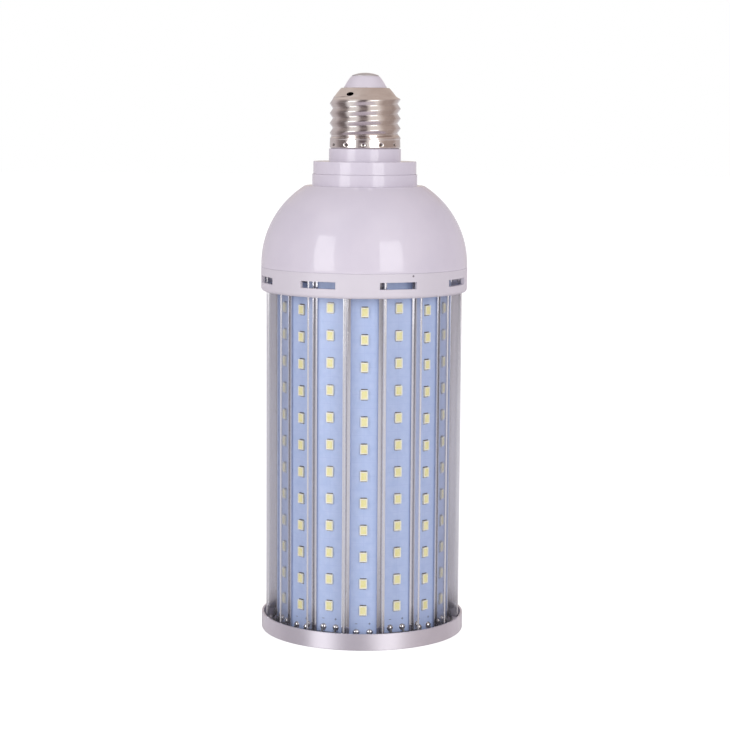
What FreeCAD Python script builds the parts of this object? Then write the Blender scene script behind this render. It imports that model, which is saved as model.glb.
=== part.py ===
import FreeCAD, Part
import math
import os
import Sketcher
from FreeCAD import Placement, Rotation, Vector

# A lamp with rows of light emitting chips on sixteen long boards round a finned
# aluminium column, a domed driver housing above it and a screw cap on top.
# It stands on its foot plate: +Z is up, the front is -Y and the axis is Z.

doc = FreeCAD.newDocument("corn_lamp")

# Driving dimensions, in millimetres and degrees

DRIVING = [
    # boards and chips
    ("strip_count", 16),
    ("strip_turn", 0.67),
    ("strip_width", 10.8),
    ("strip_thick", 1.0),
    ("strip_stagger", 1.3),
    ("strip_end", 10.0),
    ("chip_count", 12),
    ("chip_pitch", 10.0),
    ("chip_width", 2.8),
    ("chip_tall", 3.5),
    ("chip_thick", 0.8),
    # finned column
    ("slot_clear", 0.1),
    ("rib_root", 0.69),
    ("lip_reach", 0.45),
    ("lip_thick", 0.6),
    ("crease_start", 0.1),
    ("crease_depth", 0.4),
    ("fin_thick", 0.8),
    ("fin_rise", 5.37),
    ("column_wall", 1.7),
    ("foot_gap", 1.87),
    ("head_gap", 0.13),
    ("relief_height", 3.6),
    ("port_count", 4),
    ("port_boss", 3.1),
    ("port_hole", 1.3),
    ("port_inset", 2.4),
    ("port_slit", 0.9),
    ("notch_width", 5.4),
    ("notch_height", 2.3),
    # foot plate
    ("foot_floor", 1.8),
    ("foot_rim", 6.2),
    ("foot_wall", 0.75),
    ("foot_gap_side", 0.45),
    ("foot_corner", 0.5),
    # slotted collar
    ("collar_skirt", 6.2),
    ("collar_clear", 0.15),
    ("collar_wall", 1.4),
    ("collar_floor", 2.0),
    ("collar_rise", 2.8),
    ("collar_bevel", 1.3),
    ("lead_hole", 2.6),
    ("lead_inset", 3.9),
    ("lip_wall", 1.1),
    ("lip_rise", 3.0),
    ("lip_gap", 0.35),
    ("vent_count", 8),
    ("vent_turn", 19.0),
    ("vent_angle", 21.0),
    ("vent_height", 2.5),
    ("vent_drop", 0.3),
    ("post_count", 3),
    ("post_boss", 3.2),
    ("post_inset", 5.0),
    ("post_hole", 1.0),
    ("post_rise", 4.5),
    # domed housing
    ("dome_step", 0.05),
    ("dome_rise", 30.3),
    ("dome_curve", 34.6),
    ("dome_top", 22.3),
    ("dome_ceiling", 21.6),
    ("dome_wall", 2.2),
    ("spout_outer", 19.63),
    ("spout_rise", 4.3),
    # neck adapter
    ("neck_step", 19.24),
    ("neck_step_rise", 4.7),
    ("neck_outer", 13.42),
    ("neck_rise", 4.7),
    ("neck_wall", 1.9),
    ("spigot_outer", 17.2),
    ("spigot_depth", 5.5),
    ("fit_gap", 0.15),
    # screw shell
    ("shell_sheet", 0.3),
    ("skirt_outer", 13.1),
    ("skirt_rise", 3.9),
    ("thread_root", 12.1),
    ("thread_crest", 13.2),
    ("thread_pitch", 3.629),
    ("thread_turns", 4),
    ("thread_tip", 0.45),
    ("thread_foot", 1.3),
    ("shoulder_rise", 4.0),
    ("shoulder_top", 9.2),
    ("shoulder_curve", 7.0),
    ("mouth", 7.9),
    ("peephole", 1.2),
    ("peephole_turn", -31.0),
    ("peephole_drop", 2.45),
    ("stake_count", 12),
    ("stake_turn", -2.7),
    ("stake_up", 1.5),
    ("stake_size", 0.75),
    ("stake_depth", 0.2),
    ("stub_rise", 16.6),
    # insulator and centre contact
    ("plug_flange", 0.9),
    ("plug_depth", 1.2),
    ("cone_foot", 8.1),
    ("cone_top", 5.4),
    ("cone_rise", 4.3),
    ("cone_curve", 16.0),
    ("contact_outer", 5.0),
    ("contact_edge", 0.3),
    ("contact_crown", 1.0),
    ("rivet_stem", 1.5),
    ("rivet_length", 4.0),
    # fasteners
    ("screw_clear", 0.05),
    ("screw_bite", 7.0),
    ("screw_head", 2.75),
    ("screw_head_tall", 1.7),
    ("screw_pass", 0.3),
    ("sunk_head_rise", 1.5),
    ("small_head", 2.0),
    ("small_head_tall", 1.3),
    ("small_bite", 3.6),
    # driver board, what it carries, and how far a cut runs past its piece
    ("board_inset", 1.42),
    ("board_thick", 1.6),
    ("storage_radius", 6.5),
    ("storage_tall", 20.0),
    ("film_length", 13.0),
    ("film_depth", 6.0),
    ("film_tall", 11.0),
    ("core_length", 16.0),
    ("core_depth", 13.0),
    ("core_tall", 15.0),
    ("coil_margin", 2.6),
    ("bridge_length", 8.6),
    ("bridge_depth", 6.3),
    ("bridge_tall", 3.2),
    ("fuse_radius", 1.9),
    ("fuse_length", 8.0),
    ("chip_away", 9.0),
    ("driver_chip_long", 6.0),
    ("driver_chip_wide", 4.0),
    ("driver_chip_tall", 1.6),
    ("part_inset", 6.0),
    ("fuse_across", 5.7),
    ("cut_over", 5.0),
    # leads and solder
    ("lead_radius", 0.5),
    ("link_radius", 0.4),
    ("lead_spread", 1.5),
    ("lead_bend", 1.4),
    ("shell_lead_away", 8.0),
    ("joint_spread", 2.45),
    ("joint_up", 1.85),
    ("joint_radius", 1.15),
    ("joint_rise", 0.9),
    ("lane_gap", 0.3),
]

sheet = doc.addObject("Spreadsheet::Sheet", "Sizes")
for row, (alias, number) in enumerate(DRIVING, start=1):
    sheet.set("A%d" % row, alias)
    sheet.set("B%d" % row, str(number))
    sheet.setAlias("B%d" % row, alias)
doc.recompute()


class Size:
    """A length or an angle that knows its number and the sheet expression behind it."""

    def __init__(self, number, text):
        self.number = number
        self.text = text

    def __add__(self, other):
        other = as_size(other)
        return Size(self.number + other.number, "(%s + %s)" % (self.text, other.text))

    def __sub__(self, other):
        other = as_size(other)
        return Size(self.number - other.number, "(%s - %s)" % (self.text, other.text))

    def __mul__(self, other):
        other = as_size(other)
        return Size(self.number * other.number, "(%s * %s)" % (self.text, other.text))

    def __truediv__(self, other):
        other = as_size(other)
        return Size(self.number / other.number, "(%s / %s)" % (self.text, other.text))

    def __rsub__(self, other):
        return as_size(other) - self

    def __rtruediv__(self, other):
        return as_size(other) / self

    def __neg__(self):
        return Size(-self.number, "(0 - %s)" % self.text)

    __radd__ = __add__
    __rmul__ = __mul__


def as_size(value):
    if isinstance(value, Size):
        return value
    return Size(float(value), repr(float(value)))


def sine(angle):
    return Size(math.sin(math.radians(angle.number)), "sin(%s * 1 deg)" % angle.text)


def cosine(angle):
    return Size(math.cos(math.radians(angle.number)), "cos(%s * 1 deg)" % angle.text)


def tangent(angle):
    return Size(math.tan(math.radians(angle.number)), "tan(%s * 1 deg)" % angle.text)


def whole(count):
    return Size(round(count.number), "round(%s)" % count.text)


class Sheet:
    """Every alias of the sheet as a Size, such as given.fin_rise."""


given = Sheet()
for alias, number in DRIVING:
    setattr(given, alias, Size(float(sheet.get(alias)), "Sizes.%s" % alias))

# Sizes worked out from the driving ones

strips = whole(given.strip_count)
chips = whole(given.chip_count)
strip_step = 360 / strips
half_step = strip_step / 2
strip_length = given.chip_pitch * (chips - 1) + given.strip_end * 2

slot_half = given.strip_width / 2 + given.slot_clear
channel_floor = (slot_half + given.rib_root) / tangent(half_step)
board_face = channel_floor + given.strip_thick
lip_under = board_face + given.slot_clear
lip_top = lip_under + given.lip_thick
crease_floor = lip_top - given.crease_depth
crease_side = slot_half + given.crease_start
fin_tip = channel_floor / cosine(half_step) + given.fin_rise
bore = channel_floor - given.column_wall
port_circle = bore - given.port_inset
relief = lip_top / cosine(half_step)
board_radius = bore - given.board_inset
post_circle = board_radius - given.post_inset
part_away = board_radius / 2
storage_away = board_radius - given.storage_radius - given.part_inset

# The chain of boards is broken at the back, where the two feed leads come out.
last_before_gap = int(strips.number) // 2 - 1
notch_turn = strip_step * last_before_gap + half_step
post_turn = given.strip_turn

column_foot = given.foot_floor
strip_foot = column_foot + given.foot_gap
column_length = given.foot_gap + strip_length + given.strip_stagger + given.head_gap
column_top = column_foot + column_length

foot_inner = fin_tip + given.foot_gap_side
foot_outer = foot_inner + given.foot_wall

collar_inner = fin_tip + given.collar_clear
collar_outer = collar_inner + given.collar_wall
collar_bottom = column_top - given.collar_skirt
floor_top = column_top + given.collar_floor
seam = column_top + given.collar_rise
board_bottom = floor_top + given.post_rise
board_top = board_bottom + given.board_thick

dome_base = collar_outer - given.dome_step
dome_flat = seam + given.dome_rise
spout_top = dome_flat + given.spout_rise
spout_bore = given.spigot_outer + given.fit_gap

step_top = spout_top + given.neck_step_rise
neck_top = step_top + given.neck_rise
neck_bore = given.thread_root - given.shell_sheet - given.fit_gap - given.neck_wall

thread_start = neck_top + given.skirt_rise
thread_end = thread_start + given.thread_pitch * given.thread_turns
shell_top = thread_end + given.shoulder_rise
shell_under = shell_top - given.shell_sheet
stub_top = neck_top + given.stub_rise
cone_top = shell_top + given.cone_rise


# Helpers for sketches and features

def bind(thing, name, size):
    thing.setExpression(name, size.text)


def new_body(label):
    body = doc.addObject("PartDesign::Body", label)
    body.Label = label
    return body


def sketch_on(body, role, name, turn=None):
    """A sketch on one of the body's own origin planes, turned about Z if asked."""
    sketch = body.newObject("Sketcher::SketchObject", name)
    support = next(f for f in body.Origin.OriginFeatures if f.Role == role)
    sketch.AttachmentSupport = (support, [""])
    sketch.MapMode = "FlatFace"
    if turn is not None:
        axis = Vector(0, 0, 1) if role == "XY_Plane" else Vector(0, 1, 0)
        sketch.AttachmentOffset = Placement(Vector(), Rotation(axis, 1.0))
        bind(sketch, "AttachmentOffset.Rotation.Angle", turn)
    return sketch


def raise_sketch(sketch, height):
    """Lift a sketch on the XY plane to a height."""
    bind(sketch, "AttachmentOffset.Base.z", height)


def name_size(sketch, index, size, name):
    sketch.renameConstraint(index, name)
    bind(sketch, "Constraints.%s" % name, size)


def pin_point(sketch, geometry, end, point, name):
    """Hold one end of a curve at a point given by two sizes."""
    for kind, axis_id, size in (("DistanceX", -2, point[0]), ("DistanceY", -1, point[1])):
        if size is None:
            sketch.addConstraint(Sketcher.Constraint("PointOnObject", geometry, end, axis_id))
            continue
        rule = Sketcher.Constraint(kind, -1, 1, geometry, end, size.number)
        index = sketch.addConstraint(rule)
        name_size(sketch, index, size, "%s_%s" % (name, kind[-1].lower()))


def flat_point(point):
    return Vector(*[0.0 if size is None else size.number for size in point], 0)


def outline(sketch, corners):
    """A closed outline. A corner is (x, y) or (x, y, radius): with a radius, the edge to
    the next corner is an arc, its centre on the left of the way there, or on the right
    if the radius is negative. A coordinate of None lies on the axis."""
    first = sketch.GeometryCount
    count = len(corners)
    ends = []
    for index, corner in enumerate(corners):
        start = flat_point(corner[:2])
        stop = flat_point(corners[(index + 1) % count][:2])
        if len(corner) == 2:
            sketch.addGeometry(Part.LineSegment(start, stop))
            ends.append((1, 2))
            continue
        radius = corner[2]
        left = radius.number > 0
        span = stop - start
        side = Vector(-span.y, span.x, 0).normalize()
        reach = math.sqrt(radius.number ** 2 - (span.Length / 2) ** 2)
        centre = start + span * 0.5 + side * (reach if left else -reach)
        ring = Part.Circle(centre, Vector(0, 0, 1), abs(radius.number))
        begin, finish = (start, stop) if left else (stop, start)
        arc = Part.ArcOfCircle(ring, ring.parameter(begin), ring.parameter(finish))
        sketch.addGeometry(arc)
        ends.append((1, 2) if left else (2, 1))
        size = radius if left else -radius
        rule = Sketcher.Constraint("Radius", first + index, size.number)
        name_size(sketch, sketch.addConstraint(rule), size, "arc_%d_%d" % (first, index))
    for index in range(count):
        after = (index + 1) % count
        rule = Sketcher.Constraint(
            "Coincident", first + index, ends[index][1], first + after, ends[after][0])
        sketch.addConstraint(rule)
    for index, corner in enumerate(corners):
        label = "p_%d_%d" % (first, index)
        pin_point(sketch, first + index, ends[index][0], corner[:2], label)


def box_outline(sketch, low_x, low_y, high_x, high_y):
    corners = [(low_x, low_y), (high_x, low_y), (high_x, high_y), (low_x, high_y)]
    outline(sketch, corners)


def circle(sketch, x, y, radius):
    centre = flat_point((x, y))
    index = sketch.addGeometry(Part.Circle(centre, Vector(0, 0, 1), radius.number))
    pin_point(sketch, index, 3, (x, y), "c_%d" % index)
    rule = Sketcher.Constraint("Radius", index, radius.number)
    name_size(sketch, sketch.addConstraint(rule), radius, "r_%d" % index)


def feature(body, kind, name, sketch):
    made = body.newObject("PartDesign::" + kind, name)
    made.Profile = sketch
    sketch.Visibility = False
    body.Tip = made
    return made


def pad(body, sketch, length, name):
    made = feature(body, "Pad", name, sketch)
    bind(made, "Length", length)
    return made


def pocket(body, sketch, length, name, upward=True):
    """Cut from the sketch plane, up along its normal or down against it."""
    made = feature(body, "Pocket", name, sketch)
    made.Reversed = upward
    bind(made, "Length", length)
    return made


def around(body, features, count, name):
    """Repeat features evenly about the axis."""
    made = body.newObject("PartDesign::PolarPattern", name)
    made.Originals = features
    axis = next(f for f in body.Origin.OriginFeatures if f.Role == "Z_Axis")
    made.Axis = (axis, [""])
    made.Angle = 360
    bind(made, "Occurrences", count)
    body.Tip = made
    return made


def turned(label, corners):
    """A body of revolution from a half section of (radius, height) corners."""
    body = new_body(label)
    sketch = sketch_on(body, "XZ_Plane", label + "_section")
    outline(sketch, corners)
    made = feature(body, "Revolution", label + "_turned", sketch)
    made.ReferenceAxis = (sketch, ["V_Axis"])
    made.Angle = 360
    return body


def stand(body, turn=None, height=None):
    """Turn a body about the axis and lift it to its height."""
    body.Placement = Placement(Vector(), Rotation(Vector(0, 0, 1), 1.0))
    if turn is not None:
        bind(body, "Placement.Rotation.Angle", turn)
    else:
        body.Placement = Placement()
    if height is not None:
        bind(body, "Placement.Base.z", height)


def side_hole(body, turn, height, half_width, half_height, reach, name):
    """Cut a rectangular window or, with no half height, a round hole through one side."""
    sketch = sketch_on(body, "XZ_Plane", name + "_section", turn)
    if half_height is None:
        circle(sketch, None, height, half_width)
    else:
        box_outline(sketch, -half_width, height - half_height, half_width, height + half_height)
    return pocket(body, sketch, reach, name, upward=False)


# Finned column: one aluminium extrusion. Each flat channel takes a board that slides in
# from the end under two lips; a thin fin stands between every two boards.

def column():
    body = new_body("finned_column")
    ring = sketch_on(body, "XY_Plane", "column_ring")
    circle(ring, None, None, channel_floor / cosine(half_step))
    circle(ring, None, None, bore)
    pad(body, ring, column_length, "column_tube")

    boss = sketch_on(body, "XY_Plane", "port_section", half_step)
    circle(boss, None, -port_circle, given.port_boss)
    boss_pad = pad(body, boss, column_length, "port_boss")
    around(body, [boss_pad], whole(given.port_count), "port_bosses")
    hole = sketch_on(body, "XY_Plane", "port_hole_section", half_step)
    circle(hole, None, -port_circle, given.port_hole)
    hole_cut = pocket(body, hole, column_length, "port_hole")
    around(body, [hole_cut], whole(given.port_count), "port_holes")
    slit = sketch_on(body, "XY_Plane", "port_slit_section", half_step)
    slit_half = given.port_slit / 2
    slit_end = port_circle - given.port_boss * 2
    box_outline(slit, -slit_half, -port_circle, slit_half, -slit_end)
    slit_cut = pocket(body, slit, column_length, "port_slit")
    around(body, [slit_cut], whole(given.port_count), "port_slits")

    channel = sketch_on(body, "XY_Plane", "channel_section")
    box_outline(channel, -slot_half, -fin_tip, slot_half, -channel_floor)
    flats = pocket(body, channel, column_length, "board_channel")
    around(body, [flats], strips, "board_channels")

    def rib_point(normal, along):
        """A point by its distance out along a board's normal and its place across it,
        seen from the fin between two boards, which points to -Y in this sketch."""
        x = along * cosine(half_step) - normal * sine(half_step)
        y = -(normal * cosine(half_step) + along * sine(half_step))
        return x, y

    fin_half = given.fin_thick / 2
    root = channel_floor - given.column_wall / 2
    inner_edge = slot_half - given.lip_reach
    fin_foot = crease_floor / cosine(half_step) - fin_half * tangent(half_step)
    one_side = [
        rib_point(root, slot_half),
        rib_point(lip_under, slot_half),
        rib_point(lip_under, inner_edge),
        rib_point(lip_top, inner_edge),
        rib_point(lip_top, crease_side),
        rib_point(crease_floor, crease_side),
        (-fin_half, -fin_foot),
        (-fin_half, -fin_tip),
    ]
    other_side = [(-x, y) for x, y in reversed(one_side)]
    rib = sketch_on(body, "XY_Plane", "rib_section", half_step)
    outline(rib, one_side + other_side)
    rib_pad = pad(body, rib, column_length, "rib_and_fin")
    around(body, [rib_pad], strips, "ribs_and_fins")

    turned_end = sketch_on(body, "XZ_Plane", "foot_relief_section")
    outline(turned_end, [
        (relief, None),
        (fin_tip + given.cut_over, None),
        (fin_tip + given.cut_over, given.relief_height),
        (relief, given.relief_height),
    ])
    cut = feature(body, "Groove", "foot_relief", turned_end)
    cut.ReferenceAxis = (turned_end, ["V_Axis"])
    cut.Angle = 360

    notch = sketch_on(body, "XY_Plane", "lead_notch_section", notch_turn)
    box_outline(notch, -given.notch_width / 2, -fin_tip, given.notch_width / 2, -port_circle)
    pocket(body, notch, given.notch_height, "lead_notch")
    stand(body, given.strip_turn, column_foot)


# Boards: aluminium core strips, alternate ones standing a little higher.

def strip_turn(index):
    return given.strip_turn + strip_step * index


def strip_bottom(index):
    if index % 2:
        return strip_foot + given.strip_stagger
    return strip_foot


def board_strip(index):
    body = new_body("board_strip_%02d" % (index + 1))
    section = sketch_on(body, "XY_Plane", "strip_section_%02d" % (index + 1))
    half = given.strip_width / 2
    box_outline(section, -half, -board_face, half, -channel_floor)
    pad(body, section, strip_length, "strip_%02d" % (index + 1))
    stand(body, strip_turn(index), strip_bottom(index))


def chip_row(index):
    body = new_body("chip_row_%02d" % (index + 1))
    body.AllowCompound = True
    section = sketch_on(body, "XY_Plane", "chip_section_%02d" % (index + 1))
    half = given.chip_width / 2
    box_outline(section, -half, -(board_face + given.chip_thick), half, -board_face)
    one = pad(body, section, given.chip_tall, "chip_%02d" % (index + 1))
    row = body.newObject("PartDesign::LinearPattern", "chips_%02d" % (index + 1))
    row.Originals = [one]
    row.Direction = (section, ["N_Axis"])
    bind(row, "Length", given.chip_pitch * (chips - 1))
    bind(row, "Occurrences", chips)
    body.Tip = row
    lift = strip_bottom(index) + given.strip_end - given.chip_tall / 2
    stand(body, strip_turn(index), lift)


# Foot plate: a shallow aluminium pan, its rim standing clear round the fins.

def foot_plate():
    corner = given.foot_corner
    body = turned("foot_plate", [
        (None, None),
        (foot_outer - corner, None, corner),
        (foot_outer, corner),
        (foot_outer, given.foot_rim),
        (foot_inner, given.foot_rim),
        (foot_inner, given.foot_floor),
        (None, given.foot_floor),
    ])
    ports = whole(given.port_count)
    turn = given.strip_turn + half_step
    hole = sketch_on(body, "XY_Plane", "foot_hole_section", turn)
    circle(hole, None, -port_circle, given.port_hole + given.screw_pass)
    cut = pocket(body, hole, given.foot_floor, "foot_hole")
    around(body, [cut], ports, "foot_holes")
    sunk = body.newObject("PartDesign::SubtractiveCone", "foot_sink")
    bind(sunk, "Radius1", given.screw_head + given.fit_gap)
    bind(sunk, "Radius2", given.port_hole + given.screw_pass)
    bind(sunk, "Height", given.sunk_head_rise)
    bind(sunk, "Placement.Base.x", port_circle * sine(turn))
    bind(sunk, "Placement.Base.y", -(port_circle * cosine(turn)))
    body.Tip = sunk
    around(body, [sunk], ports, "foot_sinks")


def screw_group(label, section, away, count, turn, height):
    """Identical screws as separate solids, spaced evenly about the axis."""
    body = new_body(label)
    body.AllowCompound = True
    sketch = sketch_on(body, "XZ_Plane", label + "_section")
    outline(sketch, [(away, corner[1]) if corner[0] is None else (away + corner[0], corner[1])
                     for corner in section])
    made = feature(body, "Revolution", label + "_one", sketch)
    line = sketch.addGeometry(
        Part.LineSegment(Vector(away.number, 0, 0), Vector(away.number, away.number, 0)), True)
    sketch.addConstraint(Sketcher.Constraint("Vertical", line))
    rule = Sketcher.Constraint("DistanceX", -1, 1, line, 1, away.number)
    name_size(sketch, sketch.addConstraint(rule), away, "axis_place")
    made.ReferenceAxis = (sketch, ["Axis0"])
    made.Angle = 360
    around(body, [made], count, label + "_all")
    stand(body, turn, height)


def screws():
    shank = given.port_hole - given.screw_clear
    head = given.screw_head
    low = given.foot_floor + given.screw_bite
    ports = whole(given.port_count)
    port_turn = given.strip_turn + half_step - 90
    screw_group("foot_screws", [
        (None, None),
        (head, None),
        (shank, given.sunk_head_rise),
        (shank, low),
        (None, low),
    ], port_circle, ports, port_turn, None)
    reach = given.collar_floor + given.screw_bite
    screw_group("collar_screws", [
        (None, -reach),
        (shank, -reach),
        (shank, None),
        (head, None),
        (head, given.screw_head_tall),
        (None, given.screw_head_tall),
    ], port_circle, ports, port_turn, floor_top)
    thin = given.post_hole - given.screw_clear
    depth = given.board_thick + given.small_bite
    screw_group("board_screws", [
        (None, -depth),
        (thin, -depth),
        (thin, None),
        (given.small_head, None),
        (given.small_head, given.small_head_tall),
        (None, given.small_head_tall),
    ], post_circle, whole(given.post_count), post_turn - 90, board_top)


# Slotted collar: a moulded ring over the fin tops, with a floor that is screwed to the
# column, posts for the driver board and a register lip for the dome.

def slotted_collar():
    bevel = given.collar_bevel
    lip_outer = dome_base - given.dome_wall - given.lip_gap
    body = turned("slotted_collar", [
        (None, column_top),
        (collar_inner, column_top),
        (collar_inner, collar_bottom),
        (collar_outer - bevel, collar_bottom, bevel),
        (collar_outer, collar_bottom + bevel),
        (collar_outer, seam),
        (lip_outer, seam),
        (lip_outer, seam + given.lip_rise),
        (lip_outer - given.lip_wall, seam + given.lip_rise),
        (lip_outer - given.lip_wall, floor_top),
        (None, floor_top),
    ])
    middle = column_top - given.vent_drop - given.vent_height / 2
    half_width = collar_outer * sine(given.vent_angle / 2)
    vent = side_hole(body, given.vent_turn, middle, half_width, given.vent_height / 2,
                     collar_outer + given.cut_over, "vent_slot")
    around(body, [vent], whole(given.vent_count), "vent_slots")

    boss = sketch_on(body, "XY_Plane", "post_section", post_turn)
    raise_sketch(boss, column_top)
    circle(boss, None, -post_circle, given.post_boss)
    post = pad(body, boss, given.collar_floor + given.post_rise, "board_post")
    around(body, [post], whole(given.post_count), "board_posts")
    bore_hole = sketch_on(body, "XY_Plane", "post_hole_section", post_turn)
    raise_sketch(bore_hole, board_bottom)
    circle(bore_hole, None, -post_circle, given.post_hole)
    drilled = pocket(body, bore_hole, given.small_bite + given.post_hole, "post_hole", upward=False)
    around(body, [drilled], whole(given.post_count), "post_holes")

    hole = sketch_on(body, "XY_Plane", "collar_hole_section", given.strip_turn + half_step)
    raise_sketch(hole, column_top)
    circle(hole, None, -port_circle, given.port_hole + given.screw_pass)
    cut = pocket(body, hole, given.collar_floor, "collar_hole")
    around(body, [cut], whole(given.port_count), "collar_holes")
    way_down = sketch_on(body, "XY_Plane", "lead_hole_section", given.strip_turn + notch_turn)
    raise_sketch(way_down, column_top)
    circle(way_down, None, given.lead_inset - bore, given.lead_hole)
    pocket(body, way_down, given.collar_floor, "lead_hole")


# Domed housing: a moulded shell that sits on the collar and rises to a short spout.

def domed_housing():
    inner_curve = given.dome_curve - given.dome_wall
    inside = dome_flat - given.dome_wall
    turned("domed_housing", [
        (dome_base, seam, given.dome_curve),
        (given.dome_top, dome_flat),
        (given.spout_outer, dome_flat),
        (given.spout_outer, spout_top),
        (spout_bore, spout_top),
        (spout_bore, inside),
        (given.dome_ceiling, inside, -inner_curve),
        (dome_base - given.dome_wall, seam),
    ])


# Neck adapter: pushes into the spout and carries the screw shell on its stub.

def neck_adapter():
    skirt_inner = given.skirt_outer - given.shell_sheet - given.fit_gap
    stub_outer = given.thread_root - given.shell_sheet - given.fit_gap
    inner = given.spigot_outer - given.neck_wall
    ledge = step_top - given.neck_wall
    ridge_low = thread_start - given.thread_foot - given.fit_gap
    turned("neck_adapter", [
        (inner, spout_top - given.spigot_depth),
        (given.spigot_outer, spout_top - given.spigot_depth),
        (given.spigot_outer, spout_top),
        (given.neck_step, spout_top),
        (given.neck_step, step_top),
        (given.neck_outer, step_top),
        (given.neck_outer, neck_top),
        (skirt_inner, neck_top),
        (skirt_inner, ridge_low - given.neck_wall),
        (stub_outer, ridge_low),
        (stub_outer, stub_top),
        (neck_bore, stub_top),
        (neck_bore, ledge),
        (inner, ledge),
    ])


# Screw shell: rolled sheet with a right-hand thread, a staked skirt, a shoulder with a
# round peephole and a mouth that grips the insulator.

def screw_shell():
    sheet_thick = given.shell_sheet
    root = given.thread_root
    skirt = given.skirt_outer
    ease = given.thread_foot / 2
    inner_root = root - sheet_thick
    inner_skirt = skirt - sheet_thick
    body = turned("screw_shell", [
        (skirt, neck_top),
        (skirt, thread_start),
        (root, thread_start + ease),
        (root, thread_end, given.shoulder_curve),
        (given.shoulder_top, shell_top),
        (given.mouth, shell_top),
        (given.mouth, shell_under),
        (given.shoulder_top - sheet_thick, shell_under, sheet_thick - given.shoulder_curve),
        (inner_root, thread_end),
        (inner_root, thread_start + ease),
        (inner_skirt, thread_start - sheet_thick),
        (inner_skirt, neck_top),
    ])
    side_hole(body, given.peephole_turn, shell_top - given.peephole_drop, given.peephole, None,
              root + given.cut_over, "peephole")
    dent = sketch_on(body, "XZ_Plane", "stake_section", given.stake_turn)
    bind(dent, "AttachmentOffset.Base.x", (skirt - given.stake_depth) * sine(given.stake_turn))
    bind(dent, "AttachmentOffset.Base.z", (skirt - given.stake_depth) * cosine(given.stake_turn))
    circle(dent, None, neck_top + given.stake_up, given.stake_size)
    stake = pocket(body, dent, skirt, "stake", upward=False)
    around(body, [stake], whole(given.stake_count), "stakes")

    ridge = sketch_on(body, "XZ_Plane", "thread_section")
    buried = root - sheet_thick / 2
    foot = given.thread_foot
    tip = given.thread_tip
    outline(ridge, [
        (buried, thread_start - foot),
        (root, thread_start - foot),
        (given.thread_crest, thread_start - tip),
        (given.thread_crest, thread_start + tip),
        (root, thread_start + foot),
        (buried, thread_start + foot),
    ])
    thread = feature(body, "AdditiveHelix", "thread", ridge)
    thread.ReferenceAxis = (ridge, ["V_Axis"])
    thread.Mode = "pitch-turns-angle"
    thread.LeftHanded = False
    thread.Reversed = False
    bind(thread, "Pitch", given.thread_pitch)
    bind(thread, "Turns", given.thread_turns)


# Insulator: a white moulded cone held in the shell's mouth.

def cap_insulator():
    gap = given.fit_gap
    neck = given.mouth - gap
    flange = given.shoulder_top - given.shell_sheet - gap
    low = shell_under - given.plug_depth
    turned("cap_insulator", [
        (given.rivet_stem + gap, low),
        (flange - given.plug_flange, low),
        (flange - given.plug_flange, shell_under - given.plug_flange),
        (neck, shell_under - gap),
        (neck, shell_top),
        (given.cone_foot, shell_top, given.cone_curve),
        (given.cone_top, cone_top),
        (given.rivet_stem + gap, cone_top),
    ])


# Centre contact: a domed disc with a rivet stem through the insulator.

def centre_contact():
    low = cone_top - given.rivet_length
    edge = cone_top + given.contact_edge
    top = edge + given.contact_crown
    outer = given.contact_outer
    crown = given.contact_crown
    curve = (outer * outer + crown * crown) / (crown * 2)
    turned("centre_contact", [
        (None, low),
        (given.rivet_stem, low),
        (given.rivet_stem, cone_top),
        (outer, cone_top),
        (outer, edge, curve),
        (None, top),
    ])


# Driver board, round, on the collar's posts, and the parts it carries.

def driver_board():
    body = new_body("driver_board")
    disc = sketch_on(body, "XY_Plane", "board_outline")
    circle(disc, None, None, board_radius)
    pad(body, disc, given.board_thick, "board_disc")
    hole = sketch_on(body, "XY_Plane", "board_hole_section", post_turn)
    circle(hole, None, -post_circle, given.post_hole + given.screw_pass)
    cut = pocket(body, hole, given.board_thick, "board_hole")
    around(body, [cut], whole(given.post_count), "board_holes")
    stand(body, None, board_bottom)


def set_on(label, kind, height, place, sizes):
    """A plain primitive standing at a height, its sizes and place bound to the sheet."""
    thing = doc.addObject(kind, label)
    thing.Label = label
    for name, size in sizes.items():
        bind(thing, name, size)
    bind(thing, "Placement.Base.x", place[0])
    bind(thing, "Placement.Base.y", place[1])
    bind(thing, "Placement.Base.z", height)
    return thing


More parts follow.
